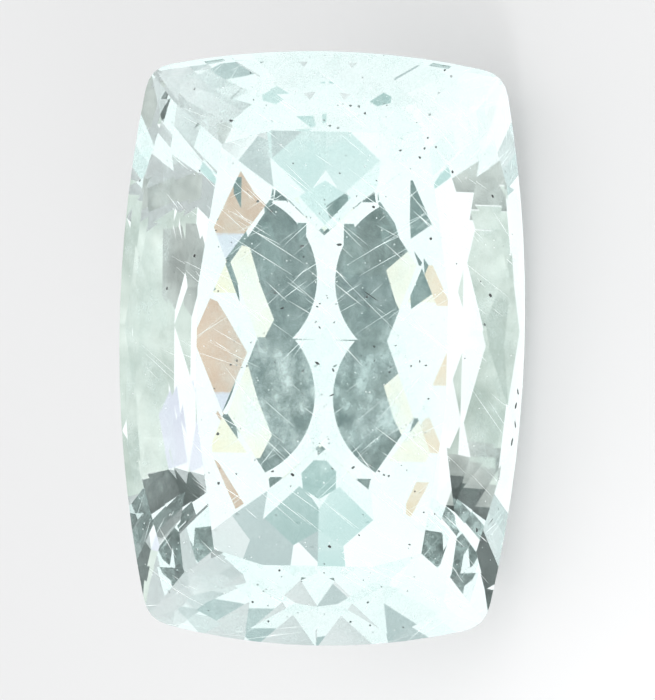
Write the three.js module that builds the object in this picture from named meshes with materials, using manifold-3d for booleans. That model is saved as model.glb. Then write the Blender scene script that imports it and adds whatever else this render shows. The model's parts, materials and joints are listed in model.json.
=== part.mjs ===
import * as THREE from 'three';
import { mergeVertices } from 'three/addons/utils/BufferGeometryUtils.js';
import Module from 'manifold-3d';

const wasm = await Module();
wasm.setup();

// A loose aquamarine cut as an elongated cushion: X runs along its length and Y across it.
// It is cut with its table facing +Z, then laid down on one facet of its underside.

// Driving dimensions, in millimetres
const stoneLength = 10.0;
const stoneWidth = 6.82;
const crownHeight = 1.02;
const girdleThickness = 0.2;
const sideBowRadius = 21.7;
const wideEndBowRadius = 13.2;
const narrowEndBowRadius = 10.6;
const cornerRounding = 0.36;
// The widest place lies this far from the middle, towards the +X end.
const wideShift = 0.35;

// The rough block that the facets are cut from
const blockDepth = 5.0;
const cutterSize = 30;
const sideSteps = 14;
const endSteps = 10;
const cornerSteps = 4;

// Facet tiers. azimuth turns from the middle of a long side (0) to the middle of an end (90),
// angle is measured from the plane of the girdle, and each facet is repeated on the mirrored
// sides. drop is how far past the girdle's edge the facet would meet the outline.
const crownTiers = {
  main: [
    { azimuth: 4.5, angle: 37, drop: 0.03 },
    { azimuth: 56, angle: 34.5, drop: 0.03 },
    { azimuth: 81.5, angle: 37, drop: 0.03 },
  ],
  upperGirdle: [
    { azimuth: 1.5, angle: 40.5, drop: 0 },
    { azimuth: 8, angle: 40.5, drop: 0 },
    { azimuth: 14, angle: 41, drop: 0 },
    { azimuth: 70, angle: 41, drop: 0 },
    { azimuth: 79, angle: 40.5, drop: 0 },
    { azimuth: 87, angle: 40.5, drop: 0 },
  ],
};
// Star facets meet the table this far from the middle of the stone.
const starAngle = 30;
const starTier = [
  { azimuth: 0, reach: 2.07 },
  { azimuth: 8.5, reach: 2.19 },
  { azimuth: 73.5, reach: 3.7 },
  { azimuth: 90, reach: 3.59 },
];
// The underside has rows of long facets that rise from the keel, each row a little steeper than
// the one nearer the keel. start is where a row begins, measured in plan from the keel's line, or
// for the end rows from the middle of the keel. azimuths run from the middle of the row outwards,
// turned away from straight across, and neighbours meet at the joins.
const keelDepth = 3.88;
const rowShift = 0.14;
const sideRows = [
  { angle: 45.5, start: 0, azimuths: [0.6, 1.4], joins: [2.4] },
  { angle: 46.3, start: 1.12, azimuths: [0, 1.6], joins: [1.3] },
  { angle: 47.3, start: 2.2, azimuths: [0.8, 2.4], joins: [1.9] },
  { angle: 49.5, start: 2.65, azimuths: [0, 1.8, 3.6], joins: [0.95, 2.8] },
];
const endRows = [
  { angle: 47, start: 1.8, azimuths: [0], joins: [] },
  { angle: 50.5, start: 2.75, azimuths: [4, 11], joins: [0.9] },
];
const lowerGirdle = [
  { azimuth: 3, angle: 56, drop: 0 },
  { azimuth: 9, angle: 57, drop: 0 },
  { azimuth: 14, angle: 58, drop: 0 },
  { azimuth: 34, angle: 54, drop: 0.15 },
  { azimuth: 80, angle: 57, drop: 0 },
  { azimuth: 87, angle: 58, drop: 0 },
];
const restRow = 1;

// Where two circles of the outline cross, on the side given by the signs of x and y
function crossing(a, b, signX, signY) {
  const gap = Math.hypot(b.x - a.x, b.y - a.y);
  const along = (gap * gap + a.radius * a.radius - b.radius * b.radius) / (2 * gap);
  const aside = Math.sqrt(a.radius * a.radius - along * along);
  const ux = (b.x - a.x) / gap;
  const uy = (b.y - a.y) / gap;
  for (const side of [1, -1]) {
    const x = a.x + along * ux - side * aside * uy;
    const y = a.y + along * uy + side * aside * ux;
    if (x * signX > 0 && y * signY > 0) {
      return new THREE.Vector2(x, y);
    }
  }
  throw new Error('the bows of the outline do not meet');
}

// One bow of the outline, cut short at both ends to leave room for the corners
function bowPoints(circle, from, to, steps) {
  const trim = cornerRounding / circle.radius;
  const start = Math.atan2(from.y - circle.y, from.x - circle.x);
  const turn = Math.atan2(to.y - circle.y, to.x - circle.x) - start;
  const sweep = turn < 0 ? turn + 2 * Math.PI : turn;
  const bow = new THREE.EllipseCurve(
    circle.x, circle.y, circle.radius, circle.radius, start + trim, start + sweep - trim,
  );
  return bow.getPoints(steps);
}

// The plan of the girdle: four bowed sides joined by small round corners
function girdleOutline() {
  const across = sideBowRadius - stoneWidth / 2;
  const left = { x: wideShift, y: -across, radius: sideBowRadius };
  const right = { x: wideShift, y: across, radius: sideBowRadius };
  const wideEnd = { x: stoneLength / 2 - wideEndBowRadius, y: 0, radius: wideEndBowRadius };
  const narrowEnd = { x: narrowEndBowRadius - stoneLength / 2, y: 0, radius: narrowEndBowRadius };
  const corners = [
    crossing(wideEnd, right, 1, -1),
    crossing(wideEnd, left, 1, 1),
    crossing(narrowEnd, left, -1, 1),
    crossing(narrowEnd, right, -1, -1),
  ];
  const bows = [
    bowPoints(wideEnd, corners[0], corners[1], endSteps),
    bowPoints(left, corners[1], corners[2], sideSteps),
    bowPoints(narrowEnd, corners[2], corners[3], endSteps),
    bowPoints(right, corners[3], corners[0], sideSteps),
  ];
  const points = [];
  bows.forEach((bow, i) => {
    const next = bows[(i + 1) % bows.length];
    const corner = corners[(i + 1) % corners.length];
    const round = new THREE.QuadraticBezierCurve(bow[bow.length - 1], corner, next[0]);
    points.push(...bow, ...round.getPoints(cornerSteps).slice(1, -1));
  });
  return points;
}

function toSolid(geometry) {
  geometry.deleteAttribute('normal');
  geometry.deleteAttribute('uv');
  const merged = mergeVertices(geometry, 1e-6);
  return new wasm.Manifold(new wasm.Mesh({
    numProp: 3,
    vertProperties: new Float32Array(merged.attributes.position.array),
    triVerts: new Uint32Array(merged.index.array),
  }));
}

function toGeometry(solid) {
  const mesh = solid.getMesh();
  const geometry = new THREE.BufferGeometry();
  geometry.setAttribute('position', new THREE.BufferAttribute(new Float32Array(mesh.vertProperties), 3));
  geometry.setIndex(new THREE.BufferAttribute(new Uint32Array(mesh.triVerts), 1));
  geometry.computeVertexNormals();
  return geometry;
}

// A facet's outward normal. The azimuth is measured from +Y towards +X.
function facetNormal(azimuth, angle, up, mirrorX, mirrorY) {
  const turn = THREE.MathUtils.degToRad(azimuth);
  const tilt = THREE.MathUtils.degToRad(angle);
  return new THREE.Vector3(
    Math.sin(tilt) * Math.sin(turn) * mirrorX,
    Math.sin(tilt) * Math.cos(turn) * mirrorY,
    Math.cos(tilt) * up,
  );
}

// Grinds away all that lies outside the plane through a point
function grind(stone, normal, point) {
  const cutter = new THREE.BoxGeometry(cutterSize, cutterSize, cutterSize);
  cutter.translate(0, 0, cutterSize / 2);
  cutter.applyQuaternion(new THREE.Quaternion().setFromUnitVectors(new THREE.Vector3(0, 0, 1), normal));
  cutter.translate(point.x, point.y, point.z);
  return stone.subtract(toSolid(cutter));
}

// A facet on the middle of a side or an end has no second one beside it.
function mirrorsOf(azimuth) {
  const mirrorsX = azimuth === 0 ? [1] : [1, -1];
  const mirrorsY = azimuth === 90 ? [1] : [1, -1];
  return mirrorsX.flatMap((x) => mirrorsY.map((y) => [x, y]));
}

// The facets of the rows on one side, each with a point it passes through. Heights run up from
// the keel, and the places are measured across the keel (reach) and along it (offset).
function rowFacets(rows) {
  const facets = [];
  let height = -keelDepth;
  let reach = rows[0].start;
  let slope = 0;
  rows.forEach((row, index) => {
    height += slope * (row.start - reach);
    reach = row.start;
    slope = Math.tan(THREE.MathUtils.degToRad(row.angle));
    let offset = 0;
    let edge = row.start;
    row.azimuths.forEach((azimuth, i) => {
      facets.push({ index, azimuth, angle: row.angle, reach: edge, offset, height });
      const next = row.joins[i] ?? offset;
      edge -= Math.tan(THREE.MathUtils.degToRad(azimuth)) * (next - offset);
      offset = next;
    });
  });
  return facets;
}

// How far the outline reaches in the direction of a normal, seen in plan
function planReach(outline, direction) {
  return Math.max(...outline.map((p) => p.x * direction.x + p.y * direction.y));
}

function planDirection(normal) {
  return new THREE.Vector3(normal.x, normal.y, 0).normalize();
}

// A point where a facet that starts at the girdle passes through the outline
function girdlePoint(outline, normal, drop) {
  const direction = planDirection(normal);
  const height = Math.sign(normal.z) * (girdleThickness / 2 + drop);
  return direction.multiplyScalar(planReach(outline, direction)).setZ(height);
}

function cutTier(stone, outline, tier, up) {
  for (const { azimuth, angle, drop } of tier) {
    for (const [mirrorX, mirrorY] of mirrorsOf(azimuth)) {
      const normal = facetNormal(azimuth, angle, up, mirrorX, mirrorY);
      stone = grind(stone, normal, girdlePoint(outline, normal, drop));
    }
  }
  return stone;
}

function cutSideRows(stone) {
  for (const { azimuth, angle, reach, offset, height } of rowFacets(sideRows)) {
    for (const [mirrorX, mirrorY] of mirrorsOf(azimuth)) {
      const point = new THREE.Vector3(offset * mirrorX + rowShift, reach * mirrorY, height);
      stone = grind(stone, facetNormal(azimuth, angle, -1, mirrorX, mirrorY), point);
    }
  }
  return stone;
}

function cutEndRows(stone) {
  for (const { azimuth, angle, reach, offset, height } of rowFacets(endRows)) {
    for (const [mirrorX, mirrorY] of mirrorsOf(90 - azimuth)) {
      const point = new THREE.Vector3(reach * mirrorX + rowShift, offset * mirrorY, height);
      stone = grind(stone, facetNormal(90 - azimuth, angle, -1, mirrorX, mirrorY), point);
    }
  }
  return stone;
}

function cutStars(stone) {
  const tableHeight = girdleThickness / 2 + crownHeight;
  for (const { azimuth, reach } of starTier) {
    for (const [mirrorX, mirrorY] of mirrorsOf(azimuth)) {
      const normal = facetNormal(azimuth, starAngle, 1, mirrorX, mirrorY);
      const point = planDirection(normal).multiplyScalar(reach).setZ(tableHeight);
      stone = grind(stone, normal, point);
    }
  }
  return stone;
}

function cutStone(outline) {
  const tableHeight = girdleThickness / 2 + crownHeight;
  const block = new THREE.ExtrudeGeometry(new THREE.Shape(outline), {
    depth: blockDepth + tableHeight,
    bevelEnabled: false,
    steps: 1,
  });
  block.translate(0, 0, -blockDepth);
  let stone = toSolid(block);
  stone = cutSideRows(stone);
  stone = cutEndRows(stone);
  stone = cutTier(stone, outline, lowerGirdle, -1);
  for (const tier of Object.values(crownTiers)) {
    stone = cutTier(stone, outline, tier, 1);
  }
  return cutStars(stone);
}

const outline = girdleOutline();
const aquamarine = new THREE.Mesh(
  toGeometry(cutStone(outline)),
  new THREE.MeshStandardMaterial({
    color: 0xcfe8e6,
    roughness: 0.05,
    flatShading: true,
    metalness: 0,
    transparent: true,
    opacity: 0.4,
  }),
);
aquamarine.name = 'aquamarine';

// The stone leans on one facet of its underside, with the table turned up towards -Y.
const restFacet = rowFacets(sideRows).find((facet) => facet.index === restRow && facet.azimuth === 0);
const restNormal = facetNormal(restFacet.azimuth, restFacet.angle, -1, 1, -1);
const restPoint = new THREE.Vector3(rowShift, -restFacet.reach, restFacet.height);
aquamarine.rotation.x = THREE.MathUtils.degToRad(restFacet.angle);
aquamarine.position.z = restNormal.dot(restPoint);

const group = new THREE.Group();
group.add(aquamarine);

export default group;
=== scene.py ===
import json
import math
import random

import bpy
from mathutils import Matrix, Vector, noise


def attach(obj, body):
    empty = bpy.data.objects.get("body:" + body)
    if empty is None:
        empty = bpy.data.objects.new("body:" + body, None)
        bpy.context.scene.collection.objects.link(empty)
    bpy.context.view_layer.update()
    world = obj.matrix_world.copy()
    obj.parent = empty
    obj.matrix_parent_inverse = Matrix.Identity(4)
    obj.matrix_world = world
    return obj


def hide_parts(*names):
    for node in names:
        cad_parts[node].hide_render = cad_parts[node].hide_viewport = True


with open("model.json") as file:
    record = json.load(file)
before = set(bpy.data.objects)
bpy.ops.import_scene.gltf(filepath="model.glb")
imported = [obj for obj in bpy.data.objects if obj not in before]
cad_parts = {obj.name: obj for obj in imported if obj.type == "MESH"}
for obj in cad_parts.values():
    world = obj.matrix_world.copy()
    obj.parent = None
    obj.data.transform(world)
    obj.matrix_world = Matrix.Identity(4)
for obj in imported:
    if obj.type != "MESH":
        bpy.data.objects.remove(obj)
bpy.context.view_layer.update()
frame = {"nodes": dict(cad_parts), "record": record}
print("frame loaded")

mm = 0.001

# the picture of the stone: where its middle is, how far it leans and how big a pixel is
picture = {
    "middle": (321.8, 348.5),
    "lean": 0.0197,
    "pixel": 0.01685 * mm,
    "width": 655,
    "height": 700,
}

# the stone's own directions, as they show in the picture: right, up, and out of the table
tableMount = next(m for m in frame["record"]["mounts"] if m["name"] == "table")
outOfTable = Vector(tableMount["axis"]).normalized()
alongStone = Vector((1, 0, 0))
acrossStone = alongStone.cross(outOfTable)
tableHeight = 1.12 * mm  # the table above the middle of the girdle
girdleMiddle = Vector(tableMount["pos_m"]) - outOfTable * tableHeight


def stonePoint(right, up, out):
    return girdleMiddle + acrossStone * right * mm + alongStone * up * mm + outOfTable * out * mm


def photoPoint(px, py, out):
    # a picture pixel to a place in the stone, out mm above the middle of the girdle
    x = px - picture["middle"][0]
    y = py - picture["middle"][1]
    c, s = math.cos(picture["lean"]), math.sin(picture["lean"])
    scale = picture["pixel"] / mm
    return stonePoint((c * x + s * y) * scale, (s * x - c * y) * scale, out)


def deselectAll():
    if bpy.context.object and bpy.context.object.mode != "OBJECT":
        bpy.ops.object.mode_set(mode="OBJECT")
    bpy.ops.object.select_all(action="DESELECT")


def makeActive(obj):
    deselectAll()
    obj.select_set(True)
    bpy.context.view_layer.objects.active = obj


def applyPlace(obj):
    makeActive(obj)
    bpy.ops.object.transform_apply(location=True, rotation=True, scale=True)


# camera
cameraSet = {
    "distance": 58 * mm,
    "tiltUp": 0.35,  # degrees off the table's normal, towards the top of the picture
    "sensor": 36,
    "clip": (1 * mm, 1000 * mm),
}


def makeCamera():
    data = bpy.data.cameras.new("camera")
    cam = bpy.data.objects.new("camera", data)
    bpy.context.scene.collection.objects.link(cam)
    rise = math.radians(cameraSet["tiltUp"])
    back = (outOfTable + alongStone * math.tan(rise)).normalized()
    c, s = math.cos(picture["lean"]), math.sin(picture["lean"])
    pictureUp = alongStone * c - acrossStone * s
    right = pictureUp.cross(back).normalized()
    up = back.cross(right)
    x = (picture["middle"][0] - picture["width"] / 2) * picture["pixel"]
    y = (picture["height"] / 2 - picture["middle"][1]) * picture["pixel"]
    target = girdleMiddle - right * x - up * y
    turn = Matrix((right, up, back)).transposed()
    cam.matrix_world = Matrix.Translation(target + back * cameraSet["distance"]) @ turn.to_4x4()
    data.sensor_width = cameraSet["sensor"]
    data.lens = cameraSet["sensor"] * cameraSet["distance"] / (picture["height"] * picture["pixel"])
    data.clip_start, data.clip_end = cameraSet["clip"]
    bpy.context.scene.camera = cam


makeCamera()
print("camera placed")


def newMaterial(name):
    mat = bpy.data.materials.new(name)
    mat.use_nodes = True
    mat.node_tree.nodes.clear()
    return mat, mat.node_tree.nodes, mat.node_tree.links


def objectNoise(nodes, links, scale, detail, roughness, stretch=(1, 1, 1)):
    # a noise pattern that stays on the piece
    place = nodes.new("ShaderNodeTexCoord")
    mapping = nodes.new("ShaderNodeMapping")
    mapping.inputs["Scale"].default_value = stretch
    pattern = nodes.new("ShaderNodeTexNoise")
    pattern.inputs["Scale"].default_value = scale
    pattern.inputs["Detail"].default_value = detail
    pattern.inputs["Roughness"].default_value = roughness
    links.new(place.outputs["Object"], mapping.inputs["Vector"])
    links.new(mapping.outputs["Vector"], pattern.inputs["Vector"])
    return pattern


def colourRamp(nodes, links, source, stops):
    ramp = nodes.new("ShaderNodeValToRGB")
    ramp.color_ramp.elements[0].position = stops[0][0]
    ramp.color_ramp.elements[0].color = stops[0][1]
    ramp.color_ramp.elements[1].position = stops[-1][0]
    ramp.color_ramp.elements[1].color = stops[-1][1]
    for position, colour in stops[1:-1]:
        ramp.color_ramp.elements.new(position).color = colour
    links.new(source, ramp.inputs["Fac"])
    return ramp


# the stone
gemLook = {
    "ior": 1.577,
    "tint": (0.74, 0.90, 0.885),
    "density": 60.0,
    "girdleClear": 0.8,  # the ground girdle lets less light in than the facets
    "mergeWithin": 0.002 * mm,
    "flatWithin": 0.3,  # degrees between triangles of one facet
    "edgeBevel": 0.012 * mm,
    "bevelFrom": 12,  # degrees between facets
    "girdleLean": 0.1,  # faces this upright belong to the girdle
    "smallestFacet": 0.01 * mm * mm,
}


def tintedDepth(nodes, links, out):
    # the tint deepens with the way that light goes through the stone
    depth = nodes.new("ShaderNodeVolumeAbsorption")
    depth.inputs["Color"].default_value = (*gemLook["tint"], 1)
    depth.inputs["Density"].default_value = gemLook["density"]
    links.new(depth.outputs["Volume"], out.inputs["Volume"])


def polishedMaterial():
    mat, nodes, links = newMaterial("polished aquamarine")
    out = nodes.new("ShaderNodeOutputMaterial")
    shader = nodes.new("ShaderNodeBsdfPrincipled")
    shader.inputs["Roughness"].default_value = 0.0
    shader.inputs["IOR"].default_value = gemLook["ior"]
    shader.inputs["Transmission Weight"].default_value = 1.0
    zoning = objectNoise(nodes, links, 700, 3, 0.55, (0.6, 1, 1))
    colour = colourRamp(nodes, links, zoning.outputs["Fac"], [
        (0.35, (0.93, 0.985, 0.98, 1)),
        (0.60, (1, 1, 1, 1)),
    ])
    links.new(colour.outputs["Color"], shader.inputs["Base Color"])
    links.new(shader.outputs["BSDF"], out.inputs["Surface"])
    tintedDepth(nodes, links, out)
    return mat


def girdleMaterial():
    mat, nodes, links = newMaterial("ground girdle")
    out = nodes.new("ShaderNodeOutputMaterial")
    shader = nodes.new("ShaderNodeBsdfPrincipled")
    shader.inputs["IOR"].default_value = gemLook["ior"]
    shader.inputs["Transmission Weight"].default_value = gemLook["girdleClear"]
    grain = objectNoise(nodes, links, 9000, 4, 0.7)
    colour = colourRamp(nodes, links, grain.outputs["Fac"], [
        (0.35, (0.80, 0.86, 0.85, 1)),
        (0.65, (0.96, 0.98, 0.98, 1)),
    ])
    rough = colourRamp(nodes, links, grain.outputs["Fac"], [
        (0.3, (0.25, 0.25, 0.25, 1)),
        (0.7, (0.5, 0.5, 0.5, 1)),
    ])
    links.new(colour.outputs["Color"], shader.inputs["Base Color"])
    links.new(rough.outputs["Color"], shader.inputs["Roughness"])
    links.new(shader.outputs["BSDF"], out.inputs["Surface"])
    tintedDepth(nodes, links, out)
    return mat


def makeGem():
    node = frame["nodes"]["aquamarine"]
    gem = bpy.data.objects.new("cut_stone", node.data.copy())
    bpy.context.scene.collection.objects.link(gem)
    makeActive(gem)
    bpy.ops.object.mode_set(mode="EDIT")
    bpy.ops.mesh.select_all(action="SELECT")
    bpy.ops.mesh.remove_doubles(threshold=gemLook["mergeWithin"])
    bpy.ops.mesh.dissolve_limited(angle_limit=math.radians(gemLook["flatWithin"]))
    bpy.ops.object.mode_set(mode="OBJECT")
    bevel = gem.modifiers.new("worn edges", "BEVEL")
    bevel.width = gemLook["edgeBevel"]
    bevel.segments = 1
    bevel.limit_method = "ANGLE"
    bevel.angle_limit = math.radians(gemLook["bevelFrom"])
    bpy.ops.object.modifier_apply(modifier=bevel.name)
    gem.data.materials.clear()
    gem.data.materials.append(polishedMaterial())
    gem.data.materials.append(girdleMaterial())
    for face in gem.data.polygons:
        face.use_smooth = False
        upright = abs(face.normal.dot(outOfTable)) < gemLook["girdleLean"]
        face.material_index = 1 if upright else 0
    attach(gem, "root")
    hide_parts("aquamarine")
    return gem


gem = makeGem()
facetPlanes = [(face.center.copy(), face.normal.copy()) for face in gem.data.polygons
               if face.area > gemLook["smallestFacet"]]
print("gem", len(gem.data.vertices), len(gem.data.polygons))


def insideStone(point, margin):
    # true where the point is at least margin mm under every facet
    return all((point - centre).dot(normal) < -margin * mm for centre, normal in facetPlanes)


# what lies inside the stone
def joinCopies(base, places, name, material):
    # one base shape, copied to each place with its own mesh and joined to one piece
    copies = []
    for place in places:
        copy = base.copy()
        copy.data = base.data.copy()
        copy.matrix_world = place
        bpy.context.scene.collection.objects.link(copy)
        copies.append(copy)
    bpy.data.objects.remove(base)
    deselectAll()
    for copy in copies:
        copy.select_set(True)
    bpy.context.view_layer.objects.active = copies[0]
    bpy.ops.object.join()
    piece = bpy.context.view_layer.objects.active
    piece.name = name
    applyPlace(piece)
    piece.data.materials.clear()
    piece.data.materials.append(material)
    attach(piece, "root")


needleLook = {
    "count": 150,
    "radius": 0.0045,  # mm, as all lengths here
    "length": (0.35, 1.5),
    "taper": 0.8,
    "right": (-3.2, 3.2),
    "up": (-4.4, 4.6),
    "out": (-1.6, 0.9),
    "slope": 38,  # degrees down to the right in the picture
    "spread": 7,
    "dip": 8,
    "under": 0.03,  # how far both ends stay under the facets
    "seed": 11,
    "colour": (0.93, 0.96, 0.95),
    "roughness": 0.4,
    # painted light: how strongly the tubes glow of their own
    "paintedGlow": 0.8,
}


def needleBase():
    deselectAll()
    bpy.ops.mesh.primitive_cylinder_add(vertices=6, radius=1, depth=1)
    base = bpy.context.object
    bpy.ops.object.mode_set(mode="EDIT")
    bpy.ops.mesh.select_all(action="SELECT")
    bpy.ops.mesh.subdivide(number_cuts=1)
    bpy.ops.object.mode_set(mode="OBJECT")
    for vertex in base.data.vertices:  # thinner towards both ends
        taper = 1 - needleLook["taper"] * (2 * vertex.co.z) ** 2
        vertex.co.x *= taper
        vertex.co.y *= taper
    return base


def grainyMaterial(name, look):
    colour = look["colour"]
    mat, nodes, links = newMaterial(name)
    out = nodes.new("ShaderNodeOutputMaterial")
    shader = nodes.new("ShaderNodeBsdfPrincipled")
    shader.inputs["Roughness"].default_value = look["roughness"]
    grain = objectNoise(nodes, links, 6000, 2, 0.5)
    shade = colourRamp(nodes, links, grain.outputs["Fac"], [
        (0.3, (*[c * 0.85 for c in colour], 1)),
        (0.7, (*colour, 1)),
    ])
    # painted light: an emission in the piece's own colour makes the tubes and droplets glow; the
    # dark grains get none
    shader.inputs["Emission Color"].default_value = (*colour, 1)
    shader.inputs["Emission Strength"].default_value = look["paintedGlow"]
    links.new(shade.outputs["Color"], shader.inputs["Base Color"])
    links.new(shader.outputs["BSDF"], out.inputs["Surface"])
    return mat


def directionInPicture(angle, dip):
    # a direction that runs down to the right in the picture by angle, and into the stone by dip
    a, d = math.radians(angle), math.radians(dip)
    flat = acrossStone * math.cos(a) - alongStone * math.sin(a)
    return (flat * math.cos(d) - outOfTable * math.sin(d)).normalized()


def alignZ(direction):
    return Vector((0, 0, 1)).rotation_difference(direction).to_matrix().to_4x4()


def makeNeedles():
    dice = random.Random(needleLook["seed"])
    places = []
    while len(places) < needleLook["count"]:
        middle = stonePoint(*[dice.uniform(*needleLook[way]) for way in ("right", "up", "out")])
        slope = needleLook["slope"] + dice.gauss(0, needleLook["spread"])
        direction = directionInPicture(slope, dice.gauss(0, needleLook["dip"]))
        length = dice.uniform(*needleLook["length"]) * dice.uniform(0.5, 1)
        reach = direction * length / 2 * mm
        ends = (middle - reach, middle + reach)
        if not all(insideStone(end, needleLook["under"]) for end in ends):
            continue
        thick = needleLook["radius"] * dice.uniform(0.6, 1.4) * mm
        size = Matrix.Diagonal((thick, thick, length * mm, 1))
        places.append(Matrix.Translation(middle) @ alignZ(direction) @ size)
    white = grainyMaterial("white growth tubes with painted glow", needleLook)
    joinCopies(needleBase(), places, "growth_tubes", white)


makeNeedles()
print("growth tubes")

# where grains and droplets lie, in mm from the middle of the girdle
scatterSet = {
    "right": (-3.3, 3.3),
    "up": (-4.9, 4.9),
    "under": 0.05,  # how far they stay under the facets
    "smallBias": 2.2,  # more of them are small
}

speckLook = {
    "count": 110,
    "size": (0.008, 0.028),
    "out": (0.1, 1.07),
    "stretch": 2.2,
    "lumps": 0.45,
    "seed": 5,
    "colour": (0.035, 0.035, 0.04),
    "roughness": 0.5,
    "paintedGlow": 0,
    # single marks: from and to in picture pixels, height in the stone and half thickness in mm;
    # the first four lie under the table and the others along the girdle, where they stand for its
    # chips: the chips are real, their darkness is painted shade
    "marks": [
        ((362, 291), (378, 302), 1.06, 0.009),
        ((315, 361), (320, 364), 1.06, 0.022),
        ((329, 395), (334, 393), 1.06, 0.012),
        ((281, 309), (285, 308), 1.06, 0.014),
        ((516, 388), (517, 395), 0.12, 0.014),
        ((515, 402), (513, 409), 0.12, 0.018),
        ((513, 420), (514, 428), 0.12, 0.013),
        ((511, 437), (509, 446), 0.12, 0.016),
    ],
}


def speckBase():
    deselectAll()
    bpy.ops.mesh.primitive_ico_sphere_add(subdivisions=1, radius=1)
    base = bpy.context.object
    for vertex in base.data.vertices:  # an uneven grain
        vertex.co *= 1 + speckLook["lumps"] * noise.noise(vertex.co * 1.7)
    return base


def scatter(dice, look):
    places = []
    least, most = look["size"]
    while len(places) < look["count"]:
        ranges = (scatterSet["right"], scatterSet["up"], look["out"])
        middle = stonePoint(*[dice.uniform(*limits) for limits in ranges])
        if not insideStone(middle, scatterSet["under"]):
            continue
        radius = least + (most - least) * dice.random() ** scatterSet["smallBias"]
        turn = alignZ(Vector([dice.gauss(0, 1) for axis in "xyz"]))
        length = radius * dice.uniform(1, look["stretch"])
        shape = Matrix.Diagonal((radius * mm, radius * mm, length * mm, 1))
        places.append(Matrix.Translation(middle) @ turn @ shape)
    return places


def makeSpecks():
    places = scatter(random.Random(speckLook["seed"]), speckLook)
    for start, end, out, thick in speckLook["marks"]:
        head, tail = photoPoint(*start, out), photoPoint(*end, out)
        size = Matrix.Diagonal((thick * mm, thick * mm, (tail - head).length / 2, 1))
        turn = alignZ((tail - head).normalized())
        places.append(Matrix.Translation((head + tail) / 2) @ turn @ size)
    # the grains are the stone's own; the marks along the girdle are painted shade of its chips
    dark = grainyMaterial("dark mineral grains and painted chip shade", speckLook)
    joinCopies(speckBase(), places, "dark_grains_and_chip_shade", dark)


makeSpecks()

dropletLook = {
    "count": 420,
    "size": (0.004, 0.014),
    "out": (-0.6, 1.05),
    "stretch": 1.6,
    "seed": 23,
    "colour": (0.95, 0.98, 0.97),
    "roughness": 0.3,
    # painted light: how strongly the droplets glow of their own
    "paintedGlow": 0.6,
}


def makeDroplets():
    places = scatter(random.Random(dropletLook["seed"]), dropletLook)
    white = grainyMaterial("white droplets with painted glow", dropletLook)
    joinCopies(speckBase(), places, "pale_droplets", white)


makeDroplets()
print("grains and droplets")

# thin clouded sheets: middle as a picture pixel, height in the stone, size along and across in mm,
# lean out of the plane of the table in degrees, and how milky they are
veilLook = {
    "cells": 60,
    "wave": 0.16,  # mm
    "waveScale": 900,
    "rim": 0.2,  # the share of the sheet over which its rim fades
    "under": 0.04,  # mm that a sheet stays under the facets
    "colour": (0.88, 0.99, 0.975),
    # painted light: the sheets also glow of their own, in this colour and strength
    "paintedVeilGlowColour": (0.84, 1, 0.975),
    "paintedVeilGlow": 0.45,
    "sheets": [
        {"at": (321, 320), "out": 0.86, "size": (6.6, 4.4), "lean": (3, -2), "milk": 0.19},
        {"at": (318, 380), "out": 0.55, "size": (6.8, 4.4), "lean": (-4, 4), "milk": 0.17},
        {"at": (284, 400), "out": 0.74, "size": (2.6, 1.7), "lean": (2, 3), "milk": 0.65},
        {"at": (320, 105), "out": 0.30, "size": (2.6, 6.4), "lean": (-14, 0), "milk": 0.6},
        {"at": (320, 612), "out": 0.18, "size": (1.7, 6.0), "lean": (16, 0), "milk": 0.34},
        {"at": (150, 320), "out": 0.18, "size": (7.5, 1.3), "lean": (0, 14), "milk": 0.34},
        {"at": (495, 320), "out": 0.18, "size": (7.5, 1.3), "lean": (0, -14), "milk": 0.34},
    ],
}


def veilMaterial(index, milk):
    mat, nodes, links = newMaterial("milky veil %d" % index)
    out = nodes.new("ShaderNodeOutputMaterial")
    clear = nodes.new("ShaderNodeBsdfTransparent")
    cloud = nodes.new("ShaderNodeBsdfTranslucent")
    face = nodes.new("ShaderNodeBsdfDiffuse")
    cloud.inputs["Color"].default_value = (*veilLook["colour"], 1)
    face.inputs["Color"].default_value = (*veilLook["colour"], 1)
    # painted light: an emission that makes the milky sheets glow brighter than the light on them
    paintedVeilGlow = nodes.new("ShaderNodeEmission")
    paintedVeilGlow.inputs["Color"].default_value = (*veilLook["paintedVeilGlowColour"], 1)
    paintedVeilGlow.inputs["Strength"].default_value = veilLook["paintedVeilGlow"]
    both = nodes.new("ShaderNodeMixShader")
    bright = nodes.new("ShaderNodeAddShader")
    mix = nodes.new("ShaderNodeMixShader")
    broad = objectNoise(nodes, links, 2100, 7, 0.76, (1, 1.3, 1))
    amount = colourRamp(nodes, links, broad.outputs["Fac"], [
        (0.40, (0.01, 0.01, 0.01, 1)),
        (0.54, (milk * 0.4, milk * 0.4, milk * 0.4, 1)),
        (0.66, (milk, milk, milk, 1)),
    ])
    links.new(cloud.outputs["BSDF"], both.inputs[1])
    links.new(face.outputs["BSDF"], both.inputs[2])
    rim = nodes.new("ShaderNodeAttribute")
    rim.attribute_name = "fade"
    thin = nodes.new("ShaderNodeMath")
    thin.operation = "MULTIPLY"
    links.new(amount.outputs["Color"], thin.inputs[0])
    links.new(rim.outputs["Fac"], thin.inputs[1])
    links.new(thin.outputs["Value"], mix.inputs["Fac"])
    links.new(clear.outputs["BSDF"], mix.inputs[1])
    links.new(both.outputs["Shader"], bright.inputs[0])
    links.new(paintedVeilGlow.outputs["Emission"], bright.inputs[1])
    links.new(bright.outputs["Shader"], mix.inputs[2])
    links.new(mix.outputs["Shader"], out.inputs["Surface"])
    return mat


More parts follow.
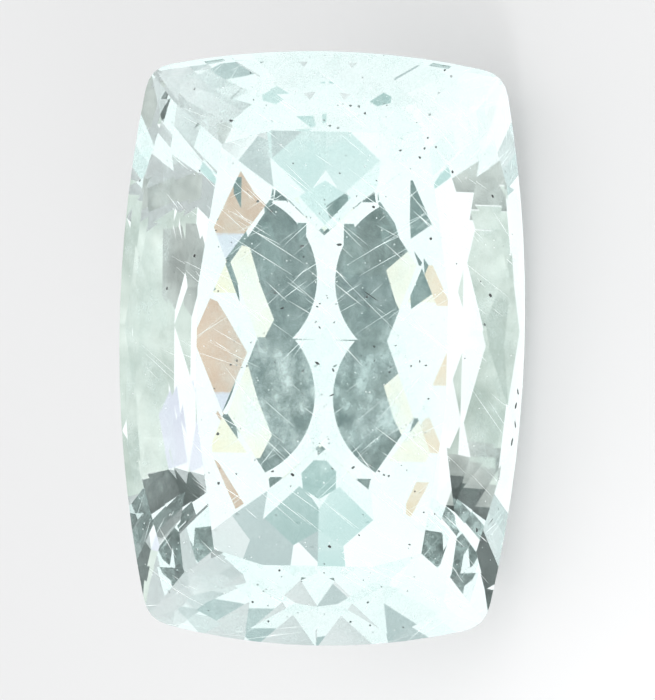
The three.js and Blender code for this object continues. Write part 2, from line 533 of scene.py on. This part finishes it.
def makeVeil(index, sheet):
    deselectAll()
    cells = veilLook["cells"]
    bpy.ops.mesh.primitive_grid_add(x_subdivisions=cells, y_subdivisions=cells, size=1)
    veil = bpy.context.object
    veil.name = "milky_veil_%d" % index
    middle = photoPoint(*sheet["at"], sheet["out"])
    leanUp, leanRight = (math.tan(math.radians(angle)) for angle in sheet["lean"])
    fade = veil.data.attributes.new("fade", "FLOAT", "POINT")
    for vertex in veil.data.vertices:
        rim = 0.5 - max(abs(vertex.co.x), abs(vertex.co.y))
        fade.data[vertex.index].value = min(1, rim / veilLook["rim"])
        up = vertex.co.x * sheet["size"][0] * mm
        right = vertex.co.y * sheet["size"][1] * mm
        place = middle + alongStone * up + acrossStone * right
        wave = noise.noise(place * veilLook["waveScale"]) * veilLook["wave"] * mm
        vertex.co = place + outOfTable * (wave + up * leanUp + right * leanRight)
    makeActive(veil)
    bpy.ops.object.mode_set(mode="EDIT")
    bpy.ops.mesh.select_mode(type="VERT")
    bpy.ops.mesh.select_all(action="DESELECT")
    bpy.ops.object.mode_set(mode="OBJECT")
    for vertex in veil.data.vertices:
        vertex.select = not insideStone(vertex.co, veilLook["under"])
    bpy.ops.object.mode_set(mode="EDIT")
    bpy.ops.mesh.delete(type="VERT")
    bpy.ops.object.mode_set(mode="OBJECT")
    veil.data.materials.append(veilMaterial(index, sheet["milk"]))
    for face in veil.data.polygons:
        face.use_smooth = True
    print("veil", index, len(veil.data.polygons))
    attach(veil, "root")


for index, sheet in enumerate(veilLook["sheets"], 1):
    makeVeil(index, sheet)
print("veils")

# the stage: pale floor, soft world, a low wall, a fill lamp, the dark lens above the table and
# cards that only the facets pick up
stageLook = {
    "lensRadius": 3.0,  # mm, as is lensOut
    "lensOut": 58.6,
    "lensGlow": (0.055, 0.125, 0.12),
    "world": 1.15,
    "floorSize": 400 * mm,
    "floorDrop": 0.05 * mm,
    "floorColour": (0.50, 0.503, 0.506),
    "floorGlow": 0.24,
    "fillPlace": (-15 * mm, -11 * mm, 11 * mm),
    "fillSize": 6 * mm,
    "fillPower": 0.0017,
    "wallRadius": 150 * mm,
    "wallHeight": 19 * mm,
    "wallGlow": (0.52, 0.60, 0.60),
    "underStone": -0.03 * mm,  # height of the cards that lie under the stone
    "cardStep": 0.001 * mm,  # each of them lies this much higher than the one before
    "lightBounces": 32,
}

# card colours: the two colours it mottles between, and the size of the mottling
cardColours = {
    "white": ((1.2, 1.2, 1.2), (1.1, 1.12, 1.11), 400),
    "dark": ((0.08, 0.16, 0.15), (0.14, 0.24, 0.23), 500),
    "black": ((0.02, 0.03, 0.028), (0.11, 0.15, 0.14), 700),
    "shade": ((0.28, 0.31, 0.29), (0.66, 0.70, 0.66), 900),
    "green": ((0.50, 0.58, 0.52), (0.90, 0.97, 0.90), 700),
    "teal": ((0.34, 0.50, 0.48), (0.55, 0.72, 0.70), 60),
    "aqua": ((0.58, 0.78, 0.76), (0.85, 0.97, 0.96), 60),
    "peach": ((0.74, 0.50, 0.36), (0.86, 0.62, 0.46), 500),
    "yellow": ((1.12, 1.02, 0.76), (1.15, 1.08, 0.88), 500),
    "cream": ((1.12, 1.04, 0.86), (1.16, 1.13, 1.02), 500),
    "orange": ((1.0, 0.76, 0.52), (1.05, 0.88, 0.70), 500),
    "lavender": ((0.78, 0.79, 0.92), (0.92, 0.92, 1.02), 500),
}

# flat cards above the table: colour, height over the girdle, and the corners to the right and up
aboveCards = [
    ("peach", 58, [
        (-6.2, -1.9), (-4.1, -2.1), (-4.1, 1.5), (-4.8, 1.2), (-5.9, -0.5), (-6.4, -1.0)]),
    ("yellow", 58, [(-6.6, 1.5), (-4.6, 1.5), (-4.6, 3.0), (-6.6, 3.0)]),
    ("lavender", 58, [(-6.3, -2.8), (-4.6, -2.8), (-4.6, -1.95), (-6.3, -1.95)]),
    ("cream", 58, [(4.7, 1.3), (6.6, 1.3), (6.6, 3.0), (4.7, 3.0)]),
    ("orange", 58, [(7.6, -0.2), (8.9, -0.2), (8.9, 2.1), (7.6, 2.1)]),
    ("cream", 58, [
        (0.2, 1.3), (-0.6, 1.1), (-1.0, -0.2), (-1.5, -1.4), (-1.1, -2.2), (0.2, -2.2)]),
    ("cream", 58, [
        (0.2, 1.3), (1.2, 0.4), (0.85, -0.7), (0.55, -1.3), (0.55, -2.2), (0.2, -2.2)]),
    ("aqua", 58, [(-3, 7.8), (3, 7.8), (3, 11.2), (-3, 11.2)]),
    ("teal", 58, [(-0.8, -9.0), (0.5, -9.0), (0.5, -7.3), (-0.6, -7.3)]),
    ("aqua", 58, [(-5, -34), (3, -34), (5, -25), (-3, -25)]),
    ("aqua", 58, [(-12, -19), (-4, -19), (-4, -12), (-9, -12)]),
    ("teal", 58, [(5, -18), (13, -18), (13, -14), (7, -14)]),
    ("black", 58, [(-12, 34), (12, 34), (12, 60), (-12, 60)]),
    ("black", 58, [(23.5, 1), (36, 1), (36, 12), (23.5, 12)]),
    ("black", 58, [(-36, 1), (-23.5, 1), (-23.5, 12), (-36, 12)]),
    ("dark", 15, [(0.0, 1.16), (0.49, 0.81), (0.52, 1.2), (0.52, 2.12), (0.3, 2.12)]),
    ("dark", 15, [(-0.5, 2.12), (-0.5, 1.42), (-0.33, 1.75), (-0.3, 2.12)]),
]

# upright cards: colour and the corners to the right, up and out
sideCards = [
    ("green", [(-12, -0.9, -6), (-12, 1.85, -6), (-12, 1.7, -2.1), (-12, -1.3, -2.1)]),
    ("shade", [(-12, 1.85, -6), (-12, 3.2, -6), (-12, 3.2, -1.2), (-12, 1.7, -1.3)]),
    ("shade", [
        (-12, -1.5, -6), (-12, -0.9, -6), (-12, -1.3, -2.1), (-12, -1.5, -1.2), (-12, -1.8, -1.2)]),
    ("black", [(-12, -3.6, -6), (-12, -1.5, -6), (-12, -1.8, -1.2), (-12, -3.6, -1.2)]),
    ("black", [(-12, 6.4, -4.2), (-12, 9, -4.2), (-12, 9, -1.5), (-12, 6.4, -1.5)]),
    ("black", [(24, 60, 12), (36, 60, 12), (36, 60, 30), (24, 60, 30)]),
    ("black", [(-36, 60, 12), (-24, 60, 12), (-24, 60, 30), (-36, 60, 30)]),
    ("aqua", [(-13, -98.6, 18.6), (13, -98.6, 18.6), (13, -91.4, 41.4), (-13, -91.4, 41.4)]),
    ("aqua", [(-13, 97.8, 19.6), (-6, 97.8, 19.6), (-9, 90.2, 42.4), (-12, 90.2, 42.4)]),
    ("aqua", [(-3, 97.8, 19.6), (1, 97.8, 19.6), (5, 90.2, 42.4), (-1, 90.2, 42.4)]),
    ("teal", [(10, 97.8, 19.6), (12, 97.8, 19.6), (13, 90.2, 42.4), (7, 90.2, 42.4)]),
]

# cards between the stone and the floor: colour and the corners along X and Y
floorCards = [
    ("green", [(-2.1, 0.5), (1.7, 0.5), (2.2, 1.33), (-2.0, 1.33)]),
    ("white", [(-2.0, 1.33), (2.2, 1.33), (1.9, 1.75), (-2.1, 1.75)]),
    ("green", [(-2.1, 1.75), (2.3, 1.75), (2.3, 2.6), (-2.1, 2.6)]),
    ("shade", [(2.1, 0.75), (2.5, 0.6), (2.8, 1.4), (2.35, 1.4)]),
    ("shade", [(1.9, 1.1), (1.9, 1.34), (1.3, 1.58), (0.5, 1.34), (0.7, 1.16)]),
    ("lavender", [(-0.6, 1.4), (-1.1, 1.1), (-2.0, 1.3), (-1.9, 1.62)]),
    ("black", [(-2.8, 0.7), (-2.1, 0.7), (-2.0, 1.3), (-2.3, 1.6), (-2.8, 1.6)]),
    ("black", [(5.6, 4.8), (8.4, 4.8), (8.4, 5.8), (5.6, 5.8)]),
]


def glowMaterial(name):
    dim, bright, scale = cardColours[name]
    mat, nodes, links = newMaterial("%s card" % name)
    out = nodes.new("ShaderNodeOutputMaterial")
    shader = nodes.new("ShaderNodeEmission")
    pattern = objectNoise(nodes, links, scale, 3, 0.6)
    colour = nodes.new("ShaderNodeMix")
    colour.data_type = "RGBA"
    colour.inputs[6].default_value = (*dim, 1)
    colour.inputs[7].default_value = (*bright, 1)
    spread = nodes.new("ShaderNodeMapRange")
    spread.inputs["From Min"].default_value = 0.35
    spread.inputs["From Max"].default_value = 0.65
    links.new(pattern.outputs["Fac"], spread.inputs["Value"])
    links.new(spread.outputs["Result"], colour.inputs["Factor"])
    links.new(colour.outputs[2], shader.inputs["Color"])
    links.new(shader.outputs["Emission"], out.inputs["Surface"])
    return mat


glow = {name: glowMaterial(name) for name in cardColours}


def onlyThroughStone(obj):
    # seen through the stone alone: no shadow, and no light on the floor
    obj.visible_camera = False
    obj.visible_diffuse = False
    obj.visible_glossy = False
    obj.visible_shadow = False


def makeCard(name, colour, corners):
    deselectAll()
    bpy.ops.mesh.primitive_circle_add(vertices=len(corners), radius=1 * mm, fill_type="NGON")
    card = bpy.context.object
    card.name = name
    for vertex, corner in zip(card.data.vertices, corners):
        vertex.co = corner
    card.data.materials.append(glow[colour])
    onlyThroughStone(card)


def makeFloor():
    deselectAll()
    bpy.ops.mesh.primitive_plane_add(
        size=stageLook["floorSize"], location=(0, 0, -stageLook["floorDrop"]))
    floor = bpy.context.object
    floor.name = "floor"
    mat, nodes, links = newMaterial("pale floor")
    out = nodes.new("ShaderNodeOutputMaterial")
    shader = nodes.new("ShaderNodeBsdfPrincipled")
    shader.inputs["Base Color"].default_value = (*stageLook["floorColour"], 1)
    shader.inputs["Roughness"].default_value = 0.7
    shader.inputs["Emission Color"].default_value = (1, 1, 1, 1)
    shader.inputs["Emission Strength"].default_value = stageLook["floorGlow"]
    links.new(shader.outputs["BSDF"], out.inputs["Surface"])
    floor.data.materials.append(mat)


def makeLens():
    # the dark round opening that the camera looks through
    deselectAll()
    bpy.ops.mesh.primitive_circle_add(
        vertices=96, radius=stageLook["lensRadius"] * mm, fill_type="NGON")
    lens = bpy.context.object
    lens.name = "dark_lens"
    middle = stonePoint(0, 0, stageLook["lensOut"])
    lens.matrix_world = Matrix.Translation(middle) @ alignZ(outOfTable)
    mat, nodes, links = newMaterial("dark lens")
    out = nodes.new("ShaderNodeOutputMaterial")
    shader = nodes.new("ShaderNodeEmission")
    shader.inputs["Color"].default_value = (*stageLook["lensGlow"], 1)
    links.new(shader.outputs["Emission"], out.inputs["Surface"])
    lens.data.materials.append(mat)
    onlyThroughStone(lens)


def makeWall():
    # a low dim wall round the stage, so that the facets don't all meet plain white
    deselectAll()
    bpy.ops.mesh.primitive_cylinder_add(
        vertices=64, radius=stageLook["wallRadius"], depth=stageLook["wallHeight"],
        end_fill_type="NOTHING", location=(0, 0, stageLook["wallHeight"] / 2))
    wall = bpy.context.object
    wall.name = "low_wall"
    mat, nodes, links = newMaterial("dim wall")
    out = nodes.new("ShaderNodeOutputMaterial")
    shader = nodes.new("ShaderNodeEmission")
    shader.inputs["Color"].default_value = (*stageLook["wallGlow"], 1)
    links.new(shader.outputs["Emission"], out.inputs["Surface"])
    wall.data.materials.append(mat)
    wall.visible_camera = False
    wall.visible_diffuse = False
    wall.visible_shadow = False


def makeFill():
    # lifts the floor towards the narrow end of the stone
    data = bpy.data.lights.new("floor fill", "AREA")
    data.size = stageLook["fillSize"]
    data.energy = stageLook["fillPower"]
    fill = bpy.data.objects.new("floor_fill", data)
    bpy.context.scene.collection.objects.link(fill)
    place = Vector(stageLook["fillPlace"])
    fill.matrix_world = Matrix.Translation(place) @ alignZ(place.normalized())
    fill.visible_glossy = False
    fill.visible_transmission = False


makeFloor()
makeLens()
makeWall()
makeFill()
for index, (colour, height, corners) in enumerate(aboveCards, 1):
    makeCard("card_above_%d" % index, colour, [stonePoint(x, y, height) for x, y in corners])
for index, (colour, corners) in enumerate(sideCards, 1):
    makeCard("card_beside_%d" % index, colour, [stonePoint(*corner) for corner in corners])
for index, (colour, corners) in enumerate(floorCards, 1):
    low = stageLook["underStone"] + index * stageLook["cardStep"]
    makeCard("card_under_%d" % index, colour, [Vector((x * mm, y * mm, low)) for x, y in corners])

world = bpy.data.worlds.new("soft light")
bpy.context.scene.world = world
world.use_nodes = True
background = world.node_tree.nodes["Background"]
background.inputs["Color"].default_value = (1, 1, 1, 1)
background.inputs["Strength"].default_value = stageLook["world"]
bpy.context.scene.view_settings.view_transform = "Standard"
cycles = bpy.context.scene.cycles  # light turns many times inside a cut stone
cycles.max_bounces = stageLook["lightBounces"]
cycles.transmission_bounces = stageLook["lightBounces"]
cycles.glossy_bounces = stageLook["lightBounces"]
cycles.transparent_max_bounces = stageLook["lightBounces"]
cycles.caustics_reflective = True
cycles.caustics_refractive = True
print("stage")
